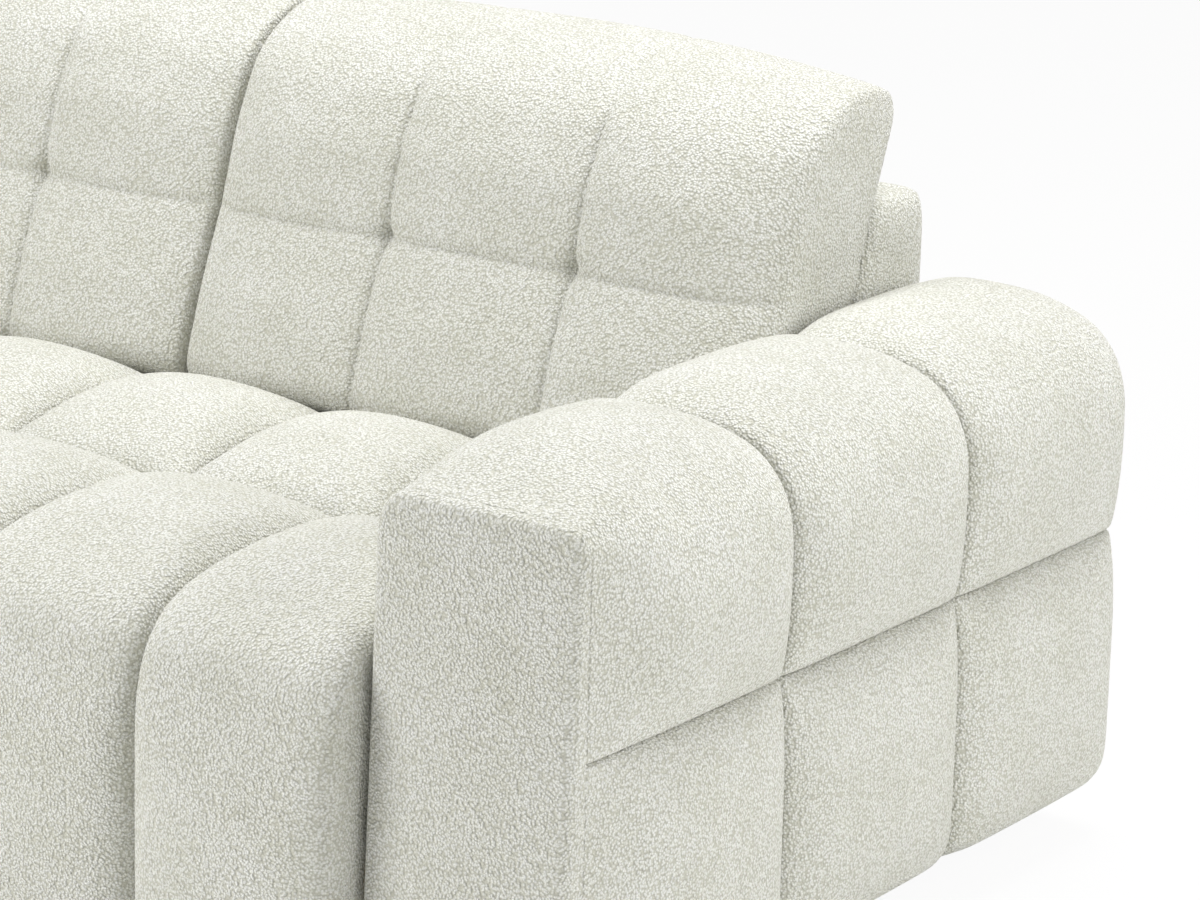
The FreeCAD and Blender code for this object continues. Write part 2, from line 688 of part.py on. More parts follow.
# Side profile of a quilted seat: up the front, over the rows of cells and back underneath
def seat_outline(x, base_front, rows, swell):
    def point(y, z):
        return Vector(x, y, z)

    crown = number("Sizes.seat_crown") * swell + seam_rise
    front_crown = number("Sizes.front_crown") * swell
    radius = number("Sizes.front_edge_radius")
    bottom = number(SEAT_BOTTOM)
    edge_y = base_front - seat_overhang
    face_y = edge_y - front_crown
    lip_z = seat_height + crown * LIP_SHARE
    inner_foot = point(base_front, floor_gap)
    outer_foot = point(edge_y - front_crown * EDGE_SHARE, floor_gap)
    lip_start = point(face_y, lip_z - radius)
    lip_end = point(face_y + radius, lip_z)
    seams = [point(base_front + seat_row * (row + 1), seat_height) for row in range(rows)]
    return Part.Wire([
        *lines(inner_foot, outer_foot, lip_start),
        corner(lip_start, point(face_y, lip_z), lip_end),
        swelling(lip_end, seams[0], Vector(0, 0, crown * LIP_ARC_SHARE)),
        *[swelling(start, end, Vector(0, 0, crown)) for start, end in zip(seams, seams[1:])],
        *lines(seams[-1], point(seat_rear, seat_height), point(seat_rear, bottom),
               point(base_front, bottom), inner_foot),
    ])


# Quilted seat of one section: columns of cells side by side, the front row rolling over the edge
def seat(part, span, seam_columns, rows):
    base_front = number(part["front"])
    inner_seams = [number(JOIN) + seat_width * column / CELLS for column in seam_columns]
    seams = [number(span[0]), *inner_seams, number(span[1])]
    columns = [loft([seat_outline(start + share * (end - start), base_front, rows, swell)
                     for share, swell in CELL_SHAPE])
               for start, end in zip(seams, seams[1:])]
    keep_solid(f"{part['name']}_seat", columns[0].multiFuse(columns[1:]))


SEAT_ROWS = 2
seat(RIGHT, RIGHT_SEAT, range(1, 2 * CELLS), SEAT_ROWS)
seat(CHAISE, CHAISE_SEAT, range(1 - CELLS, 0), SEAT_ROWS + CHAISE_ROWS)


# Side panel on a free side of the chaise, one swollen cell for each row of the seat
def side_panel(label, face_x, outward, rear_y):
    chaise_front = number(CHAISE_FRONT)
    crown = number("Sizes.side_crown")
    outer = face_x + outward * number("Sizes.side_padding")
    top = seat_height - number("Sizes.side_drop")
    seams = [chaise_front - seat_overhang, chaise_front + seat_row, rear_y]
    cells = []
    for start, end in zip(seams, seams[1:]):
        wires = []
        for share, swell in CELL_SHAPE:
            y = start + share * (end - start)
            low = Vector(outer, y, floor_gap)
            high = Vector(outer, y, top)
            inner_low = Vector(face_x, y, floor_gap)
            inner_high = Vector(face_x, y, top)
            bulge = Vector(outward * (crown * swell + seam_rise), 0, 0)
            wires.append(Part.Wire([*lines(low, inner_low, inner_high, high), swelling(high, low, bulge)]))
        cells.append(loft(wires))
    keep_solid(label, cells[0].fuse(cells[1]))


side_drop = number("Sizes.side_drop")
seat_front = front_y - seat_overhang - number("Sizes.front_crown")
side_panel("chaise_side_panel_right", number(CHAISE_JOIN_FACE), 1, seat_front - side_drop)
side_panel("chaise_side_panel_left", -arm_x, -1, front_y - number("Sizes.fabric_gap"))

# Form of a back cushion at shares of its height: how much of its depth the side edge keeps,
# how far the seams stand proud of the side edge, how plump the cells are, and the rear's inset
CUSHION_SHAPE = (
    (0.00, 0.84, 0.75, 0.35, 0.00),
    (0.07, 0.97, 1.05, 0.75, 0.00),
    (0.27, 1.00, 1.10, 1.00, 0.00),
    (0.48, 1.00, 0.95, 0.20, 0.00),
    (0.74, 1.00, 0.95, 1.00, 0.00),
    (0.93, 0.97, 0.60, 0.60, 0.10),
    (1.00, 0.75, 0.30, 0.20, 0.35),
)


# Loose back cushion: boxed sides, columns of cells, drawn in along the tufted seam
def cushion_form(middle_x, inset):
    depth = number("Sizes.cushion_side_depth")
    gap = number("Sizes.cushion_gap")
    lean = number("Sizes.back_depth - Sizes.back_top_depth") / (number("Sizes.back_height") - seat_height)
    half = seat_width / 2 - number("Sizes.fabric_gap") - inset
    seam_x = seat_width / CELLS / 2
    bottom = seat_height + gap + inset
    height = number("Sizes.cushion_height") - 2 * inset
    wires = []
    for share, edge, proud, plump, rear_inset in CUSHION_SHAPE:
        z = bottom + share * height
        back_y = seat_rear + lean * (z - seat_height) - 2 * gap
        rear_y = back_y - depth * rear_inset - inset
        side_y = back_y - depth * edge + inset
        seam_y = side_y - number("Sizes.cushion_swell") * proud
        rise = Vector(0, -number("Sizes.cushion_rise") * plump, 0)
        spots = ((-half, side_y), (-seam_x, seam_y), (seam_x, seam_y), (half, side_y))
        front = [Vector(middle_x + x, y, z) for x, y in spots]
        rear_right = Vector(middle_x + half, rear_y, z)
        rear_left = Vector(middle_x - half, rear_y, z)
        cells = [swelling(start, end, rise) for start, end in zip(front, front[1:])]
        wires.append(Part.Wire([*cells, *lines(front[-1], rear_right, rear_left, front[0])]))
    return loft(wires)


cover = number("Sizes.cushion_cover")
core_inset = cover + number("Sizes.core_clearance")
for place, middle_x in (("chaise", -seat_width), ("middle", 0), ("right", seat_width)):
    keep_solid(f"back_cushion_{place}", cushion_form(middle_x, 0).cut(cushion_form(middle_x, cover)))
    keep_solid(f"back_cushion_{place}_core", cushion_form(middle_x, core_inset))

# Build, check and write every piece
doc.recompute()
for item in doc.Objects:
    if "Invalid" in item.State or "Error" in item.State:
        raise RuntimeError(f"{item.Name} failed: {item.State}")
for piece in sub_parts:
    if piece.Shape.isNull() or not piece.Shape.isValid() or piece.Shape.Volume <= 0:
        raise RuntimeError(f"{piece.Label} has no valid solid")
os.makedirs("parts", exist_ok=True)
for piece in sub_parts:
    piece.Shape.exportStep(f"parts/{piece.Label}.step")
print(len(sub_parts), "pieces written")
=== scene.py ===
import math

import bmesh
import bpy
import numpy as np
from mathutils import Matrix, Vector


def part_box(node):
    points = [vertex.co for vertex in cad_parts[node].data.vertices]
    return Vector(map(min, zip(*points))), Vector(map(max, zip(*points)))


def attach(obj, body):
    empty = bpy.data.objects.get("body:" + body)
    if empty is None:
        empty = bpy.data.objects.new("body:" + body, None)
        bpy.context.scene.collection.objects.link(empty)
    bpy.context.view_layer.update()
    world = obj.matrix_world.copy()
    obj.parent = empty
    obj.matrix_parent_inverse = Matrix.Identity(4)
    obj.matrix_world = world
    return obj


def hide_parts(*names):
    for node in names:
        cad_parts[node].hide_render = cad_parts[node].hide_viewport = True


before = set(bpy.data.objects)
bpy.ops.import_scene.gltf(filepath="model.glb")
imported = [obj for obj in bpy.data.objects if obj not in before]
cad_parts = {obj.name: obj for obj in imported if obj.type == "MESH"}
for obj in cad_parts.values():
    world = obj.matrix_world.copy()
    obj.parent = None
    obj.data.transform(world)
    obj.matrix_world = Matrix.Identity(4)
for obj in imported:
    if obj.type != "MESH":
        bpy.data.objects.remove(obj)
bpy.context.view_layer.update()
bpy.ops.object.select_all(action="DESELECT")

# Timber frame: rails, posts, blocks and boards of each section and arm, sawn from pine.
# They are glued and stapled together, and the upholstery hides all of them.


def linear(code):
    channels = [int(code[place:place + 2], 16) / 255 for place in (1, 3, 5)]
    return (*[c / 12.92 if c <= 0.04045 else ((c + 0.055) / 1.055) ** 2.4 for c in channels], 1)


def add_node(material, kind, links=None, values=None, colours=(), **settings):
    node = material.node_tree.nodes.new(kind)
    for name, value in settings.items():
        setattr(node, name, value)
    for name, value in (values or {}).items():
        node.inputs[name].default_value = value
    for name, source in (links or {}).items():
        material.node_tree.links.new(source, node.inputs[name])
    if colours:
        stops = node.color_ramp.elements
        while len(stops) < len(colours):
            stops.new(0.5)
        for stop, (place, code) in zip(stops, colours):
            stop.position = place
            stop.color = linear(code)
    return node


def new_material(name):
    material = bpy.data.materials.new(name)
    material.use_nodes = True
    material.node_tree.nodes.clear()
    return material


def finish_material(material, shader):
    add_node(material, "ShaderNodeOutputMaterial", {"Surface": shader.outputs[0]})


def dress(ending, material):
    for name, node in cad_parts.items():
        if name.endswith(ending):
            node.data.materials.clear()
            node.data.materials.append(material)


# Sawn pine: pale yellow wood with darker growth lines along the board, dry and dull
PINE_GRAIN = 0.009
PINE_STRETCH = 0.08
pine = new_material("sawn_pine")
place = add_node(pine, "ShaderNodeTexCoord")
grain_place = add_node(pine, "ShaderNodeMapping", {"Vector": place.outputs["Object"]},
                       {"Scale": (1, PINE_STRETCH, 1)})
grain = add_node(pine, "ShaderNodeTexNoise", {"Vector": grain_place.outputs[0]},
                 {"Scale": 1 / PINE_GRAIN, "Detail": 3, "Distortion": 0.6})
pine_colour = add_node(pine, "ShaderNodeValToRGB", {"Fac": grain.outputs[0]},
                       colours=((0.3, "#A8804E"), (0.5, "#C9A36C"), (0.7, "#D8B884")))
pine_bump = add_node(pine, "ShaderNodeBump", {"Height": grain.outputs[0]},
                     {"Strength": 0.3, "Distance": 0.0004})
finish_material(pine, add_node(pine, "ShaderNodeBsdfPrincipled",
                               {"Base Color": pine_colour.outputs[0], "Normal": pine_bump.outputs[0]},
                               {"Roughness": 0.75}))
dress(("_rail", "_posts", "_corner_blocks", "_outer_panel", "_top_board"), pine)

# Seat webbing: woven elastic straps, stretched over the rails and stapled to them.
# They carry the seat pads and can't be seen from outside.

# Woven elastic: dark brown, its surface broken up by small ribs
RIB_PITCH = 0.004
elastic = new_material("woven_elastic")
place = add_node(elastic, "ShaderNodeTexCoord")
ribs = add_node(elastic, "ShaderNodeTexVoronoi", {"Vector": place.outputs["Object"]},
                {"Scale": 1 / RIB_PITCH})
elastic_colour = add_node(elastic, "ShaderNodeValToRGB", {"Fac": ribs.outputs["Distance"]},
                          colours=((0.2, "#4A3A2C"), (0.8, "#241C16")))
elastic_bump = add_node(elastic, "ShaderNodeBump", {"Height": ribs.outputs["Distance"]},
                        {"Strength": 0.5, "Distance": 0.0006})
finish_material(elastic, add_node(elastic, "ShaderNodeBsdfPrincipled",
                                  {"Base Color": elastic_colour.outputs[0],
                                   "Normal": elastic_bump.outputs[0]}, {"Roughness": 0.8}))
dress("_webbing", elastic)

# Dust covers: one sheet of black spunbond cloth under each section, stretched and stapled to the rails.
# It closes the underside round the feet.

# Spunbond: pressed black fibres with a fine pattern of melted points
POINT_PITCH = 0.003
spunbond = new_material("black_spunbond")
place = add_node(spunbond, "ShaderNodeTexCoord")
points = add_node(spunbond, "ShaderNodeTexVoronoi", {"Vector": place.outputs["Object"]},
                  {"Scale": 1 / POINT_PITCH, "Randomness": 0.2})
spunbond_colour = add_node(spunbond, "ShaderNodeValToRGB", {"Fac": points.outputs["Distance"]},
                           colours=((0.1, "#101010"), (0.5, "#1E1D1C")))
finish_material(spunbond, add_node(spunbond, "ShaderNodeBsdfPrincipled",
                                   {"Base Color": spunbond_colour.outputs[0]}, {"Roughness": 0.9}))
dress("_dust_cover", spunbond)

FACING = 0.9
for section in ("right", "chaise"):
    low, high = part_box(f"{section}_dust_cover")

# Feet: short cones of moulded black plastic, screwed up into the corner blocks and arm posts.
# They are set in from the edges, so the sofa seems to float just above the floor.

# Moulded polypropylene: black, with the fine sparkle of a textured mould
MOULD_GRAIN = 0.0012
polypropylene = new_material("black_polypropylene")
place = add_node(polypropylene, "ShaderNodeTexCoord")
mould = add_node(polypropylene, "ShaderNodeTexNoise", {"Vector": place.outputs["Object"]},
                 {"Scale": 1 / MOULD_GRAIN, "Detail": 2})
foot_colour = add_node(polypropylene, "ShaderNodeValToRGB", {"Fac": mould.outputs[0]},
                       colours=((0.3, "#161616"), (0.7, "#242322")))
mould_bump = add_node(polypropylene, "ShaderNodeBump", {"Height": mould.outputs[0]},
                      {"Strength": 0.2, "Distance": 0.0002})
finish_material(polypropylene, add_node(polypropylene, "ShaderNodeBsdfPrincipled",
                                        {"Base Color": foot_colour.outputs[0],
                                         "Normal": mould_bump.outputs[0]}, {"Roughness": 0.45}))
dress("_feet", polypropylene)

# Bolts and connectors: zinc plated hexagon bolts through the end rails, and black steel sockets and
# tongues that lock the two sections together where they meet.


def worn_metal(name, colours, grain_size, metallic, roughness):
    metal = new_material(name)
    place = add_node(metal, "ShaderNodeTexCoord")
    spots = add_node(metal, "ShaderNodeTexNoise", {"Vector": place.outputs["Object"]},
                     {"Scale": 1 / grain_size, "Detail": 4})
    colour = add_node(metal, "ShaderNodeValToRGB", {"Fac": spots.outputs[0]},
                      colours=((0.35, colours[0]), (0.65, colours[1])))
    finish_material(metal, add_node(metal, "ShaderNodeBsdfPrincipled", {"Base Color": colour.outputs[0]},
                                    {"Metallic": metallic, "Roughness": roughness}))
    return metal


# Zinc plating: bright, with a faint mottled spangle; powder coat: black, evenly dull
dress("_bolts", worn_metal("zinc_plated_steel", ("#9C9C98", "#C4C4C0"), 0.006, 1, 0.35))
dress(("_sockets", "_tongues"), worn_metal("black_powder_coat", ("#141414", "#1E1E1E"), 0.001, 0, 0.5))

# Seats: a foam pad under bouclé cloth on each section, sewn into columns and rows of plump cells.
# The front row rolls over the edge and hangs to the base; the rear strip carries the cushions.

# Bouclé: cream yarn with small loops that lie every way, so its surface is soft beads; the gaps between
# the beads are darkened in the colour as painted shade.
# A thin fuzz on the loops gives a light edge where the cloth turns away.
LOOP_SIZE = 0.0028
CRUMB_SIZE = 0.006
CRUMB_SHARE = 0.25
LOOP_RELIEF = 0.0026
CLOUD_SIZE = 0.07
boucle = new_material("cream_boucle")
place = add_node(boucle, "ShaderNodeTexCoord")
loops = add_node(boucle, "ShaderNodeTexVoronoi", {"Vector": place.outputs["Object"]},
                 {"Scale": 1 / LOOP_SIZE})
crumbs = add_node(boucle, "ShaderNodeTexNoise", {"Vector": place.outputs["Object"]},
                  {"Scale": 1 / CRUMB_SIZE, "Detail": 1})
loop_depth = add_node(boucle, "ShaderNodeMath", {0: crumbs.outputs[0], 2: loops.outputs["Distance"]},
                      {1: CRUMB_SHARE}, operation="MULTIPLY_ADD")
# painted shade: the colour goes from cream on the beads to warm grey in the gaps between them, where the
# loops shade each other
bead_colour_and_painted_gap_shade = add_node(boucle, "ShaderNodeValToRGB", {"Fac": loop_depth.outputs[0]},
                       colours=((0.25, "#F6F6F3"), (0.5, "#ECECE6"), (0.8, "#CBCABE")))
clouds = add_node(boucle, "ShaderNodeTexNoise", {"Vector": place.outputs["Object"]},
                  {"Scale": 1 / CLOUD_SIZE, "Detail": 2})
cloud_colour = add_node(boucle, "ShaderNodeValToRGB", {"Fac": clouds.outputs[0]},
                        colours=((0.3, "#F8F8F5"), (0.7, "#FFFFFF")))
boucle_colour = add_node(boucle, "ShaderNodeMix",
                         {"A": bead_colour_and_painted_gap_shade.outputs[0], "B": cloud_colour.outputs[0]},
                         data_type="RGBA", blend_type="MULTIPLY")
boucle_colour.inputs["Factor"].default_value = 1
boucle_bump = add_node(boucle, "ShaderNodeBump", {"Height": loop_depth.outputs[0]},
                       {"Strength": 1, "Distance": LOOP_RELIEF}, invert=True)
finish_material(boucle, add_node(boucle, "ShaderNodeBsdfPrincipled",
                                 {"Base Color": boucle_colour.outputs["Result"],
                                  "Normal": boucle_bump.outputs[0]},
                                 {"Roughness": 0.95, "Specular IOR Level": 0.2, "Sheen Weight": 0.25,
                                  "Sheen Roughness": 0.5}))

NEAR = 0.0001
PARALLEL = 0.999
X, Y, Z = range(3)
BESIDE_SEAM = (0.005, 0.011)


def start_block(name, low, high):
    bpy.ops.object.select_all(action="DESELECT")
    bpy.ops.mesh.primitive_cube_add(size=1, location=(low + high) / 2, scale=high - low)
    piece = bpy.context.object
    piece.name = name
    piece.data.name = name
    bpy.ops.object.transform_apply(location=True, rotation=False, scale=True)
    bpy.ops.object.mode_set(mode="EDIT")
    return piece


def cut_at(axis, places):
    normal = [0, 0, 0]
    normal[axis] = 1
    for place in places:
        bpy.ops.mesh.select_all(action="SELECT")
        bpy.ops.mesh.bisect(plane_co=[place * share for share in normal], plane_no=normal)


def beside(*seams):
    return [seam + side * distance for seam in seams for side in (-1, 1) for distance in BESIDE_SEAM]


def pick(piece, kind, test):
    bpy.ops.mesh.select_mode(type=kind)
    bpy.ops.mesh.select_all(action="DESELECT")
    mesh = bmesh.from_edit_mesh(piece.data)
    for item in mesh.faces if kind == "FACE" else mesh.edges:
        item.select_set(test(item))
    bmesh.update_edit_mesh(piece.data)


def runs_along(edge, axis):
    direction = edge.verts[1].co - edge.verts[0].co
    return abs(direction[axis]) > PARALLEL * direction.length


def round_edge(piece, test, radius, segments):
    pick(piece, "EDGE", lambda edge: all(test(corner.co) for corner in edge.verts))
    bpy.ops.mesh.bevel(offset=radius, segments=segments, profile=0.5, clamp_overlap=False)


def refine(piece, axis, step):
    edges = bmesh.from_edit_mesh(piece.data).edges
    lengths = sorted({round(edge.calc_length(), 4) for edge in edges if runs_along(edge, axis)})
    for length in lengths:
        cuts = round(length / step) - 1
        if cuts > 0:
            pick(piece, "EDGE",
                 lambda edge: runs_along(edge, axis) and abs(edge.calc_length() - length) < NEAR)
            bpy.ops.mesh.subdivide(number_cuts=cuts)


def end_block(piece):
    bpy.ops.mesh.select_all(action="SELECT")
    bpy.ops.mesh.remove_doubles(threshold=NEAR)
    bpy.ops.mesh.normals_make_consistent(inside=False)
    bpy.ops.object.mode_set(mode="OBJECT")
    return points_of(piece)


def points_of(piece):
    flat = np.empty(len(piece.data.vertices) * 3)
    piece.data.vertices.foreach_get("co", flat)
    return flat.reshape(-1, 3)


def put_points(piece, points):
    piece.data.vertices.foreach_set("co", points.ravel())
    piece.data.update()


def normals_of(piece):
    flat = np.empty(len(piece.data.vertices) * 3)
    piece.data.vertices.foreach_get("normal", flat)
    return flat.reshape(-1, 3)


def inflate(piece, held, pressure=8, frames=14):
    # fills the sewn cloth with air: points held by a seam stay, and the cloth between them swells
    rest = points_of(piece)
    stitches = piece.vertex_groups.new(name="stitches")
    for weight in np.unique(held):
        if weight > 0:
            indices = np.nonzero(held == weight)[0].tolist()
            stitches.add(indices, float(weight), "REPLACE")
    bpy.context.view_layer.objects.active = piece
    bpy.ops.object.modifier_add(type="CLOTH")
    cloth = piece.modifiers[-1]
    cloth.settings.quality = 4
    cloth.settings.tension_stiffness = 8
    cloth.settings.compression_stiffness = 8
    cloth.settings.shear_stiffness = 4
    cloth.settings.bending_stiffness = 0.2
    cloth.settings.air_damping = 4
    cloth.settings.use_pressure = True
    cloth.settings.uniform_pressure_force = pressure
    cloth.settings.effector_weights.gravity = 0
    cloth.settings.vertex_group_mass = "stitches"
    cloth.collision_settings.use_collision = False
    for step in range(1, frames + 1):
        bpy.context.scene.frame_set(step)
    bpy.ops.object.modifier_apply(modifier=cloth.name)
    bpy.context.scene.frame_set(1)
    piece.vertex_groups.clear()
    return points_of(piece) - rest


def fuller(move, fullness):
    # how full each point of a cell is, with steeper sides towards the seams than the cloth gives
    size = np.linalg.norm(move, axis=1)
    return (size / max(size.max(), NEAR)) ** fullness


def roll(distance, radius):
    # how far a cell has risen at a distance from its seam, as a quarter circle
    return np.sqrt(1 - (1 - np.clip(distance / radius, 0, 1)) ** 2)


def crease(piece, test):
    # a sewn line stays sharp under the subdivision
    pick(piece, "EDGE", lambda edge: all(test(corner.co) for corner in edge.verts))
    bpy.ops.transform.edge_crease(value=1)


def nearest(values, places):
    return np.min(np.abs(values[:, None] - np.asarray(places)[None, :]), axis=1)


def soft_finish(piece, node, body):
    bpy.context.view_layer.objects.active = piece
    bpy.ops.object.modifier_add(type="SUBSURF")
    piece.modifiers[-1].levels = 1
    piece.modifiers[-1].render_levels = 1
    bpy.ops.object.modifier_apply(modifier=piece.modifiers[-1].name)
    bpy.ops.object.select_all(action="DESELECT")
    piece.select_set(True)
    bpy.ops.object.shade_smooth()
    piece.data.materials.clear()
    piece.data.materials.append(boucle)
    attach(piece, body)
    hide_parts(node)


CELL_WIDTH = 0.236
CELL_LENGTH = 0.291
SEAM_LEVEL = 0.383
SEAT_CROWN = 0.059
FRONT_CROWN = 0.038
SEAT_OVERHANG = 0.040
FRONT_RADIUS = 0.085
SEAT_STEP = 0.017
SEAT_FULLNESS = 0.8
SEAT_ROLL = 0.032
SEAT_ROLL_SHARE = 0.45


def seat_pad(node, body, rail, webbing, seams_x):
    low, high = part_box(node)
    base_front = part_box(rail)[0].y
    slab_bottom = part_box(webbing)[1].z
    edge_y = base_front - SEAT_OVERHANG
    rows = round((high.y - base_front) / CELL_LENGTH - 0.5)
    seams_y = [base_front + CELL_LENGTH * (row + 1) for row in range(rows)]
    piece = start_block(f"{node}_cover", Vector((low.x, edge_y, slab_bottom)),
                        Vector((high.x, high.y, SEAM_LEVEL)))
    round_edge(piece, lambda spot: spot.y < edge_y + NEAR and spot.z > SEAM_LEVEL - NEAR,
               FRONT_RADIUS, segments=8)
    cut_at(Y, [base_front])
    pick(piece, "FACE", lambda face: face.normal.z < -FACING and face.calc_center_median().y < base_front)
    bpy.ops.mesh.extrude_region_move(TRANSFORM_OT_translate={"value": (0, 0, low.z - slab_bottom)})
    cut_at(Y, seams_y + beside(*seams_y))
    cut_at(X, seams_x + beside(low.x, *seams_x, high.x))
    for axis in (X, Y, Z):
        refine(piece, axis, SEAT_STEP)
    for seam in seams_x:
        crease(piece, lambda spot: abs(spot.x - seam) < NEAR)
    for seam in seams_y:
        crease(piece, lambda spot: abs(spot.y - seam) < NEAR)
    crease(piece, lambda spot: abs(spot.y - base_front) < NEAR and spot.z < slab_bottom + NEAR)
    spots = end_block(piece)
    normals = normals_of(piece)
    columns = [low.x, *seams_x, high.x]
    on_seam = nearest(spots[:, X], columns) < NEAR
    on_row = (nearest(spots[:, Y], seams_y) < NEAR) & (spots[:, Z] > SEAM_LEVEL - NEAR)
    behind = (spots[:, Y] > base_front - NEAR) & (spots[:, Z] < SEAM_LEVEL - NEAR)
    ledge = spots[:, Y] > seams_y[-1] - NEAR
    foot = spots[:, Z] < low.z + NEAR
    move = inflate(piece, (on_seam | on_row | behind | ledge | foot).astype(float))
    rise = roll(nearest(spots[:, X], columns), SEAT_ROLL) * roll(spots[:, Z] - low.z, SEAT_ROLL)
    rise *= roll(nearest(spots[:, Y], seams_y), CELL_LENGTH / 2) ** 2
    row_of = np.searchsorted(seams_y, spots[:, Y])
    column_of = np.searchsorted(columns, spots[:, X])
    for row in range(rows):
        for column in range(len(columns)):
            cell = (row_of == row) & (column_of == column)
            if cell.any():
                full = (SEAT_ROLL_SHARE * rise[cell]
                        + (1 - SEAT_ROLL_SHARE) * fuller(move[cell], SEAT_FULLNESS))
                height = SEAT_CROWN * normals[cell, Z] ** 2 + FRONT_CROWN * normals[cell, Y] ** 2
                spots[cell] += (height * full)[:, None] * normals[cell]
    put_points(piece, spots)
    soft_finish(piece, node, body)


join = (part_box("right_seat")[0].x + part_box("chaise_seat")[1].x) / 2
seat_pad("right_seat", "right_section", "right_front_rail", "right_webbing",
         [join + CELL_WIDTH * column for column in range(1, 6)])
seat_pad("chaise_seat", "chaise_section", "chaise_front_rail", "chaise_webbing",
         [join - CELL_WIDTH * column for column in (2, 1)])

# Arms: foam over a timber box, sewn into three columns and two rows of plump cells.
# The upper cells wrap over the top, the lower ones hang on the outer side and round the rear,
# and a panel that leans forward closes the front.

ARM_STEP = 0.016
ARM_CROWN = 0.045
ARM_BULGE = 0.035
INNER_BULGE = 0.001
ARM_INNER_RADIUS = 0.038
ARM_OUTER_RADIUS = 0.065
FRONT_SQUARE = 7
SQUARE_REACH = 0.4
ARM_FOOT_RADIUS = 0.035
ARM_FULLNESS = 0.75
SIDE_ROLL = 0.055
TOP_ROLL = 0.1
FRONT_ROLL = 0.16
ROW_ROLL = 0.1
ARM_ROLL_SHARE = 0.55
arm_panel_low, arm_panel_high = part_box("right_arm_front_panel")
arm_inner, arm_outer = arm_panel_low.x, arm_panel_high.x
arm_edge = arm_panel_high.z
arm_board_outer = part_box("right_arm_outer_panel")[1].x
arm_timber_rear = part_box("right_arm_outer_panel")[1].y
row_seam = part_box("right_arm_upper_front")[0].z


def square_corner(spots, radius, power):
    # turns the round outer top edge into a squarer one where power is above 2
    across = np.clip((spots[:, X] - arm_outer + radius) / radius, 0, None)
    upward = np.clip((spots[:, Z] - arm_edge + radius) / radius, 0, None)
    corner = (across > 0) & (upward > 0)
    rounded = np.maximum((across ** power + upward ** power) ** (1 / power), NEAR)
    reach = np.hypot(across, upward) / rounded
    spots[corner, X] = arm_outer - radius + radius * (across * reach)[corner]
    spots[corner, Z] = arm_edge - radius + radius * (upward * reach)[corner]


def mirror_copy(piece, name):
    twin = piece.copy()
    twin.data = piece.data.copy()
    twin.name = name
    twin.data.name = name
    bpy.context.collection.objects.link(twin)
    points = points_of(twin)
    points[:, X] *= -1
    put_points(twin, points)
    bpy.ops.object.select_all(action="DESELECT")
    bpy.context.view_layer.objects.active = twin
    bpy.ops.object.mode_set(mode="EDIT")
    bpy.ops.mesh.select_all(action="SELECT")
    bpy.ops.mesh.flip_normals()
    bpy.ops.object.mode_set(mode="OBJECT")
    return twin


for column in ("front", "middle", "rear"):
    for row in ("upper", "lower"):
        node = f"right_arm_{row}_{column}"
        low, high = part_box(node)
        if row == "upper":
            piece = start_block(f"{node}_cover", Vector((arm_inner, low.y, low.z)),
                                Vector((arm_outer, high.y, arm_edge)))
            round_edge(piece, lambda spot: spot.x < arm_inner + NEAR and spot.z > arm_edge - NEAR,
                       ARM_INNER_RADIUS, segments=5)
            round_edge(piece, lambda spot: spot.x > arm_outer - NEAR and spot.z > arm_edge - NEAR,
                       ARM_OUTER_RADIUS, segments=6)
        else:
            piece = start_block(f"{node}_cover", Vector((arm_board_outer, low.y, low.z)),
                                Vector((arm_outer, high.y, high.z)))
            round_edge(piece, lambda spot: spot.x > arm_outer - NEAR and spot.z < low.z + NEAR,
                       ARM_FOOT_RADIUS, segments=4)
        if node == "right_arm_lower_rear":
            cut_at(Y, [arm_timber_rear])
            pick(piece, "FACE",
                 lambda face: face.normal.x < -FACING and face.calc_center_median().y > arm_timber_rear)
            to_inner = (arm_inner - arm_board_outer, 0, 0)
            bpy.ops.mesh.extrude_region_move(TRANSFORM_OT_translate={"value": to_inner})
        cut_at(Y, beside(low.y, high.y))
        cut_at(Z, beside(low.z if row == "upper" else high.z))
        for axis in (X, Y, Z):
            refine(piece, axis, ARM_STEP)
        if column == "front":
            crease(piece, lambda spot: spot.y < low.y + NEAR)
        spots = end_block(piece)
        if node == "right_arm_upper_front":
            share = np.clip((spots[:, Y] - low.y) / (high.y - low.y) / SQUARE_REACH, 0, 1)
            square_corner(spots, ARM_OUTER_RADIUS, FRONT_SQUARE + (2 - FRONT_SQUARE) * share)
            put_points(piece, spots)
        ends = nearest(spots[:, Y], (low.y, high.y)) < NEAR
        if row == "upper":
            hidden = spots[:, Z] < low.z + NEAR
        else:
            hidden = (spots[:, Z] > high.z - NEAR) | (spots[:, X] < arm_board_outer + NEAR) | (
                spots[:, Z] < low.z + NEAR)
        normals = normals_of(piece)
        move = inflate(piece, (ends | hidden).astype(float))
        height = (ARM_CROWN * np.clip(normals[:, Z], 0, 1) ** 3
                  + ARM_BULGE * np.clip(normals[:, X], 0, 1) ** 3
                  + INNER_BULGE * np.clip(normals[:, X], -1, 0) ** 2)
        seam_roll = SIDE_ROLL + (TOP_ROLL - SIDE_ROLL) * np.clip(normals[:, Z], 0, 1) ** 2
        rise = roll(high.y - spots[:, Y], seam_roll) * roll(np.abs(spots[:, Z] - row_seam), ROW_ROLL)
        if column != "front":
            rise *= roll(spots[:, Y] - low.y, seam_roll)
        full = ARM_ROLL_SHARE * rise + (1 - ARM_ROLL_SHARE) * fuller(move, ARM_FULLNESS)
        if column == "front":
            full *= roll(spots[:, Y] - low.y, FRONT_ROLL) ** 2
        put_points(piece, spots + (height * full)[:, None] * normals)
        twin = mirror_copy(piece, f"chaise_arm_{row}_{column}_cover")
        soft_finish(piece, node, "right_section")
        soft_finish(twin, f"chaise_arm_{row}_{column}", "chaise_section")

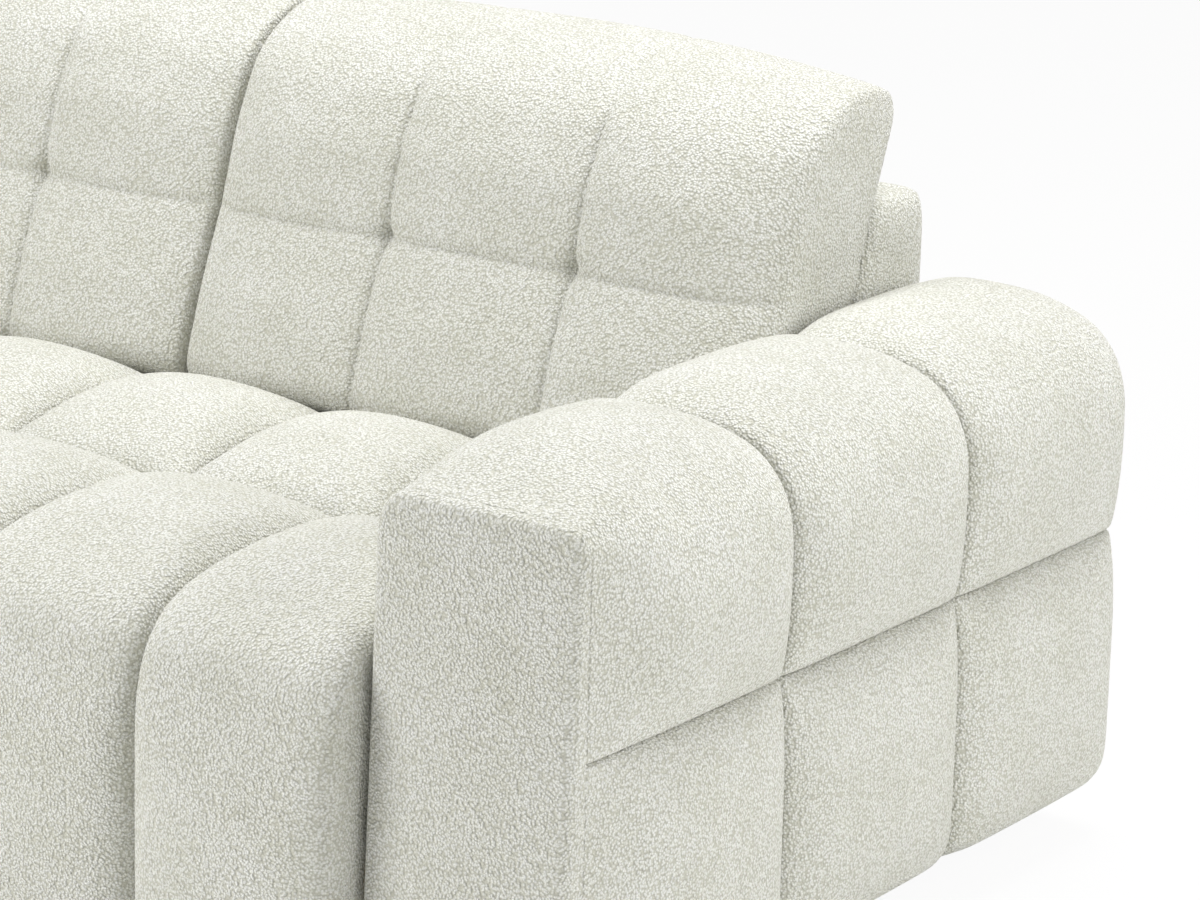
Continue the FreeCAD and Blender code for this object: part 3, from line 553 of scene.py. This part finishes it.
PANEL_EDGE = 0.010
PANEL_SWELL = 0.006
PANEL_RAKE = 0.044
piece = start_block("right_arm_front_panel_cover", arm_panel_low.copy(), arm_panel_high.copy())
round_edge(piece, lambda spot: spot.x < arm_inner + NEAR and spot.z > arm_edge - NEAR,
           ARM_INNER_RADIUS, segments=5)
round_edge(piece, lambda spot: spot.x > arm_outer - NEAR and spot.z > arm_edge - NEAR,
           ARM_OUTER_RADIUS, segments=6)
round_edge(piece, lambda spot: spot.y < arm_panel_low.y + NEAR, PANEL_EDGE, segments=3)
cut_at(X, np.arange(arm_inner + ARM_STEP, arm_outer, ARM_STEP))
cut_at(Z, np.arange(arm_panel_low.z + ARM_STEP, arm_edge, ARM_STEP))
crease(piece, lambda spot: spot.y > arm_panel_high.y - NEAR)
spots = end_block(piece)
square_corner(spots, ARM_OUTER_RADIUS, np.full(len(spots), float(FRONT_SQUARE)))
in_front = spots[:, Y] < arm_panel_low.y + NEAR
forward = (arm_panel_high.y - spots[:, Y]) / (arm_panel_high.y - arm_panel_low.y)
spots[:, Y] -= PANEL_RAKE * forward * (arm_edge - spots[:, Z])
put_points(piece, spots)
move = inflate(piece, (~in_front).astype(float))
spots[:, Y] -= PANEL_SWELL * fuller(move, ARM_FULLNESS)
put_points(piece, spots)
twin = mirror_copy(piece, "chaise_arm_front_panel_cover")
soft_finish(piece, "right_arm_front_panel", "right_section")
soft_finish(twin, "chaise_arm_front_panel", "chaise_section")

# Padded backs: a foam wedge over the posts and back rail of each section, covered in bouclé.
# It leans back, and its rounded top shows behind the cushions.

BACK_VOXEL = 0.014
BACK_ROUNDING = 6
BACK_SWELL = 0.006


def plump(piece, voxel, rounding, swell, is_held):
    # rounds the edges of a pad and lets its cloth swell by a few millimetres where it is free
    bpy.context.view_layer.objects.active = piece
    bpy.ops.object.modifier_add(type="REMESH")
    piece.modifiers[-1].voxel_size = voxel
    bpy.ops.object.modifier_apply(modifier=piece.modifiers[-1].name)
    bpy.ops.object.modifier_add(type="SMOOTH")
    piece.modifiers[-1].factor = 0.5
    piece.modifiers[-1].iterations = rounding
    bpy.ops.object.modifier_apply(modifier=piece.modifiers[-1].name)
    spots = points_of(piece)
    move = inflate(piece, is_held(spots).astype(float), pressure=4)
    size = np.linalg.norm(move, axis=1)
    put_points(piece, spots + move * np.minimum(1, swell / np.maximum(size, NEAR))[:, None])


def from_solid(node, body, is_held):
    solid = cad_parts[node]
    piece = bpy.data.objects.new(f"{node}_cover", solid.data.copy())
    bpy.context.collection.objects.link(piece)
    bpy.ops.object.select_all(action="DESELECT")
    bpy.context.view_layer.objects.active = piece
    bpy.ops.object.mode_set(mode="EDIT")
    end_block(piece)
    plump(piece, BACK_VOXEL, BACK_ROUNDING, BACK_SWELL, is_held)
    soft_finish(piece, node, body)


for section in ("right", "chaise"):
    low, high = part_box(f"{section}_back_pad")
    from_solid(f"{section}_back_pad", f"{section}_section",
               lambda spots: (spots[:, Z] < low.z + BACK_VOXEL) | (spots[:, Y] > high.y - BACK_VOXEL)
               | (nearest(spots[:, X], (low.x, high.x)) < 2 * BACK_VOXEL))

# Chaise sides: foam pads on the two long sides of the chaise, in front of its arm and the right section.
# Each is sewn into two plump cells, stapled under the end rail and tucked in below the edge of the seat.

SIDE_PADDING = 0.020
SIDE_CROWN = 0.016
SIDE_FOOT_ROLL = 0.05
RETURN_THICKNESS = 0.0015
RETURN_LENGTH = 0.055
ARM_CLEARANCE = 0.026
chaise_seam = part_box("chaise_front_rail")[0].y + CELL_LENGTH


def side_pad(side, outward, rear):
    node = f"chaise_side_panel_{side}"
    low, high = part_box(node)
    face = low.x if outward > 0 else high.x
    outer = face + outward * SIDE_PADDING
    piece = start_block(f"{node}_cover", Vector((min(face, outer), low.y, low.z)),
                        Vector((max(face, outer), rear, high.z)))
    round_edge(piece, lambda spot: spot.y < low.y + NEAR and spot.z > high.z - NEAR,
               FRONT_RADIUS, segments=8)
    if side == "right":
        # the cloth runs on past the pad, flat on the end rail, into the joint between the sections
        cut_at(X, [face + RETURN_THICKNESS])
        pick(piece, "FACE", lambda end_face: end_face.normal.y > FACING
             and end_face.calc_center_median().x < face + RETURN_THICKNESS)
        bpy.ops.mesh.extrude_region_move(TRANSFORM_OT_translate={"value": (0, RETURN_LENGTH, 0)})
    cut_at(Y, [chaise_seam] + beside(chaise_seam))
    for start, end in ((low.y, chaise_seam), (chaise_seam, rear)):
        cut_at(Y, np.linspace(start, end, round((end - start) / ARM_STEP) + 1)[1:-1])
    cut_at(Z, np.linspace(low.z, high.z, round((high.z - low.z) / ARM_STEP) + 1)[1:-1])
    crease(piece, lambda spot: abs(spot.y - chaise_seam) < NEAR)
    crease(piece, lambda spot: abs(spot.x - face) < NEAR)
    spots = end_block(piece)
    to_seam = nearest(spots[:, Y], (low.y, chaise_seam, rear))
    to_edge = np.minimum(spots[:, Z] - low.z, high.z - spots[:, Z])
    from_middle = (np.clip(low.y + FRONT_RADIUS - spots[:, Y], 0, None),
                   np.clip(spots[:, Z] - high.z + FRONT_RADIUS, 0, None))
    to_edge = np.minimum(to_edge, np.clip(FRONT_RADIUS - np.hypot(*from_middle), 0, None))
    outside = np.abs(spots[:, X] - outer) < NEAR
    move = inflate(piece, (~outside | (to_seam < NEAR) | (to_edge < NEAR)).astype(float))
    rise = np.where(outside, roll(to_seam, SIDE_ROLL) * roll(to_edge, SIDE_FOOT_ROLL), 0)
    for beyond in (False, True):
        cell = (spots[:, Y] > chaise_seam) == beyond
        full = ARM_ROLL_SHARE * rise[cell] + (1 - ARM_ROLL_SHARE) * fuller(move[cell], ARM_FULLNESS)
        spots[cell, X] += outward * SIDE_CROWN * full
    put_points(piece, spots)
    soft_finish(piece, node, "chaise_section")


side_pad("right", 1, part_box("chaise_side_panel_right")[1].y)
side_pad("left", -1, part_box("chaise_side_panel_left")[1].y - ARM_CLEARANCE)

# Back cushions: loose boxed cushions with a fibre fill, sewn in columns and rows and tufted where the
# seams cross. They lean on the padded back and stand on the rear strip of the seat.

CUSHION_DEPTH = 0.131
CUSHION_GAP = 0.001
REAR_SHARE = 0.05
CUSHION_DOME = 0.046
CUSHION_RISE = 0.026
CUSHION_PUFF = 0.013
TOP_PUFF = 0.010
CUSHION_FULLNESS = 0.6
CUSHION_ROLL = 0.014
CUSHION_ROLL_SHARE = 0.35
CUSHION_STEP = 0.014
TOP_RADIUS = 0.060
FOOT_RADIUS = 0.030
REAR_RADIUS = 0.040
BELLY_AT = (0, 0.07, 0.27, 0.48, 0.70, 0.88, 0.95, 1)
BELLY = (0.85, 1.02, 1.12, 1.0, 1.15, 0.9, 0.6, 0.3)
FADE_AT = (0.85, 1)
FADE = (1, 0.3)
EDGE_POWER = 8
FREE_FALL = 1
PRESSED_FALL = 0.35
ROW_SHARE = 0.48
ROW_DIP = 0.32
ROW_REACH = 0.004
TUFT_PULL = 0.013
TUFT_REACH = 0.011
cushion_low, cushion_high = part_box("back_cushion_middle")
back_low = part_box("right_back_pad")[0]
half_width = (cushion_high.x - cushion_low.x) / 2
cushion_height = cushion_high.z - TOP_PUFF - cushion_low.z
lean = (cushion_high.y - back_low.y) / cushion_height
seam_x = CELL_WIDTH / 2
row_z = cushion_low.z + ROW_SHARE * cushion_height
front_y = back_low.y - CUSHION_DEPTH
top_z = cushion_low.z + cushion_height


def back_cushion(place, left_fall, right_fall):
    piece = start_block(f"back_cushion_{place}_cover", Vector((-half_width, front_y, cushion_low.z)),
                        Vector((half_width, back_low.y - CUSHION_GAP, top_z)))
    round_edge(piece, lambda spot: spot.y < front_y + NEAR and spot.z > top_z - NEAR,
               TOP_RADIUS, segments=6)
    round_edge(piece, lambda spot: spot.y < front_y + NEAR and spot.z < cushion_low.z + NEAR,
               FOOT_RADIUS, segments=3)
    round_edge(piece, lambda spot: spot.y > front_y + TOP_RADIUS + NEAR and spot.z > top_z - NEAR,
               REAR_RADIUS, segments=4)
    cut_at(X, [-seam_x, seam_x] + beside(-seam_x, seam_x, -half_width, half_width))
    cut_at(Z, [row_z] + beside(row_z))
    for axis in (X, Y, Z):
        refine(piece, axis, CUSHION_STEP)
    for seam in (-seam_x, seam_x):
        crease(piece, lambda spot: abs(spot.x - seam) < NEAR and spot.y < front_y + TOP_RADIUS)
    crease(piece, lambda spot: abs(spot.z - row_z) < NEAR and spot.y < front_y + NEAR)
    spots = end_block(piece)
    normals = normals_of(piece)
    across = np.abs(spots[:, X]) / half_width
    upward = (spots[:, Z] - cushion_low.z) / cushion_height
    forward = np.clip((back_low.y - spots[:, Y]) / CUSHION_DEPTH, 0, 1)
    sewn = forward > 1 - TOP_RADIUS / CUSHION_DEPTH
    on_column = sewn & (nearest(spots[:, X], (-seam_x, seam_x)) < NEAR)
    hidden = (forward < REAR_SHARE) | (upward < NEAR) | (across > 1 - NEAR)
    move = inflate(piece, (on_column | hidden).astype(float))
    fade = np.interp(upward, FADE_AT, FADE)
    height = (CUSHION_PUFF * fade * np.clip(normals[:, Y], -1, 0) ** 2
              + TOP_PUFF * np.clip(normals[:, Z], 0, 1) ** 2)
    rise = roll(nearest(spots[:, X], (-half_width, -seam_x, seam_x, half_width)), CUSHION_ROLL)
    rise[hidden] = 0
    drawn_in = 1 - ROW_DIP * np.exp(-np.abs(spots[:, Z] - row_z) / ROW_REACH)
    shape = spots.copy()
    column_of = np.searchsorted((-seam_x, seam_x), spots[:, X])
    for column in range(3):
        cell = column_of == column
        full = (CUSHION_ROLL_SHARE * rise[cell]
                + (1 - CUSHION_ROLL_SHARE) * fuller(move[cell], CUSHION_FULLNESS))
        shape[cell] += (height[cell] * full * drawn_in[cell])[:, None] * normals[cell]
    fall = np.where(spots[:, X] < 0, left_fall, right_fall)
    dome = (1 - fall * across ** EDGE_POWER) * np.interp(upward, BELLY_AT, BELLY)
    tuft_distance = np.hypot(nearest(spots[:, X], (-seam_x, seam_x)), spots[:, Z] - row_z)
    tuft = TUFT_PULL * np.exp(-(tuft_distance / TUFT_REACH) ** 2)
    shape[:, Y] -= forward * (CUSHION_DOME * dome - tuft)
    shape[:, Y] += lean * (spots[:, Z] - cushion_low.z)
    shape[:, Z] -= CUSHION_RISE * fall * across ** 2 * upward ** 2
    shape[:, X] += sum(corner.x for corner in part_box(f"back_cushion_{place}")) / 2
    put_points(piece, shape)
    soft_finish(piece, f"back_cushion_{place}", f"{place}_cushion")
    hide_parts(f"back_cushion_{place}_core")


back_cushion("chaise", FREE_FALL, PRESSED_FALL)
back_cushion("middle", PRESSED_FALL, PRESSED_FALL)
back_cushion("right", PRESSED_FALL, FREE_FALL)

# Studio: a pale floor with white all round it, and three soft lamps, above and on both sides.
# The camera stands where the photograph was taken from.

CAMERA_PLACE = Vector((3.42845, -3.26552, 1.66581))
CAMERA_YAW = math.radians(34.3)
CAMERA_PITCH = math.radians(15.6)
CAMERA_ROLL = math.radians(1.6)
FOCAL_PIXELS = 4626.4
IMAGE_WIDTH = 1200
SENSOR = 36
camera = bpy.data.objects.new("camera", bpy.data.cameras.new("camera"))
bpy.context.scene.collection.objects.link(camera)
camera.data.sensor_width = SENSOR
camera.data.lens = FOCAL_PIXELS / IMAGE_WIDTH * SENSOR
camera.data.clip_end = 100
camera.matrix_world = (Matrix.Translation(CAMERA_PLACE) @ Matrix.Rotation(CAMERA_YAW, 4, "Z")
                       @ Matrix.Rotation(math.pi / 2 - CAMERA_PITCH, 4, "X")
                       @ Matrix.Rotation(CAMERA_ROLL, 4, "Z"))
bpy.context.scene.camera = camera

FLOOR_SIZE = 30
FLOOR_WHITE = 0.94
bpy.ops.object.select_all(action="DESELECT")
bpy.ops.mesh.primitive_plane_add(size=FLOOR_SIZE)
floor = bpy.context.object
floor.name = "floor"

# Floor paint: matt white; the camera sees it nearly evenly white, with a little of the sofa's shadow
paint = new_material("white_floor_paint")
light_path = add_node(paint, "ShaderNodeLightPath")
floor_surface = add_node(paint, "ShaderNodeBsdfPrincipled",
                         values={"Base Color": linear("#F2F2F0"), "Roughness": 0.9})
floor_glow = add_node(paint, "ShaderNodeEmission", values={"Color": (1, 1, 1, 1), "Strength": 1})
floor_seen = add_node(paint, "ShaderNodeMath", {0: light_path.outputs["Is Camera Ray"]},
                      {1: FLOOR_WHITE}, operation="MULTIPLY")
finish_material(paint, add_node(paint, "ShaderNodeMixShader",
                                {0: floor_seen.outputs[0], 1: floor_surface.outputs[0],
                                 2: floor_glow.outputs[0]}))
floor.data.materials.append(paint)

world = bpy.data.worlds.new("studio")
bpy.context.scene.world = world
world.use_nodes = True
world.node_tree.nodes.clear()
WORLD_LIGHT = 0.25
rays = add_node(world, "ShaderNodeLightPath")
seen = add_node(world, "ShaderNodeMath",
                {0: rays.outputs["Is Camera Ray"], 1: rays.outputs["Is Glossy Ray"]}, operation="MAXIMUM")
seen_all = add_node(world, "ShaderNodeMath",
                    {0: seen.outputs[0], 1: rays.outputs["Is Transmission Ray"]}, operation="MAXIMUM")
dim = add_node(world, "ShaderNodeBackground", values={"Color": (1, 1, 1, 1), "Strength": WORLD_LIGHT})
white = add_node(world, "ShaderNodeBackground", values={"Color": (1, 1, 1, 1), "Strength": 1})
sky = add_node(world, "ShaderNodeMixShader",
               {0: seen_all.outputs[0], 1: dim.outputs[0], 2: white.outputs[0]})
add_node(world, "ShaderNodeOutputWorld", {"Surface": sky.outputs[0]})


def soft_light(name, place, target, size, power):
    lamp = bpy.data.objects.new(name, bpy.data.lights.new(name, "AREA"))
    bpy.context.scene.collection.objects.link(lamp)
    lamp.data.size = size
    lamp.data.energy = power
    lamp.location = place
    lamp.rotation_euler = (Vector(target) - Vector(place)).to_track_quat("-Z", "Y").to_euler()


soft_light("top_light", place=(0.9, 1.2, 3.9), target=(0.6, 0.1, 0.4), size=2.4, power=141)
soft_light("right_light", place=(4.4, 0.4, 2.0), target=(0.9, 0.1, 0.4), size=2.0, power=70)
soft_light("left_light", place=(-2.4, -3.4, 1.8), target=(0.9, 0.1, 0.4), size=2.2, power=156)

bpy.context.scene.view_settings.view_transform = "Standard"
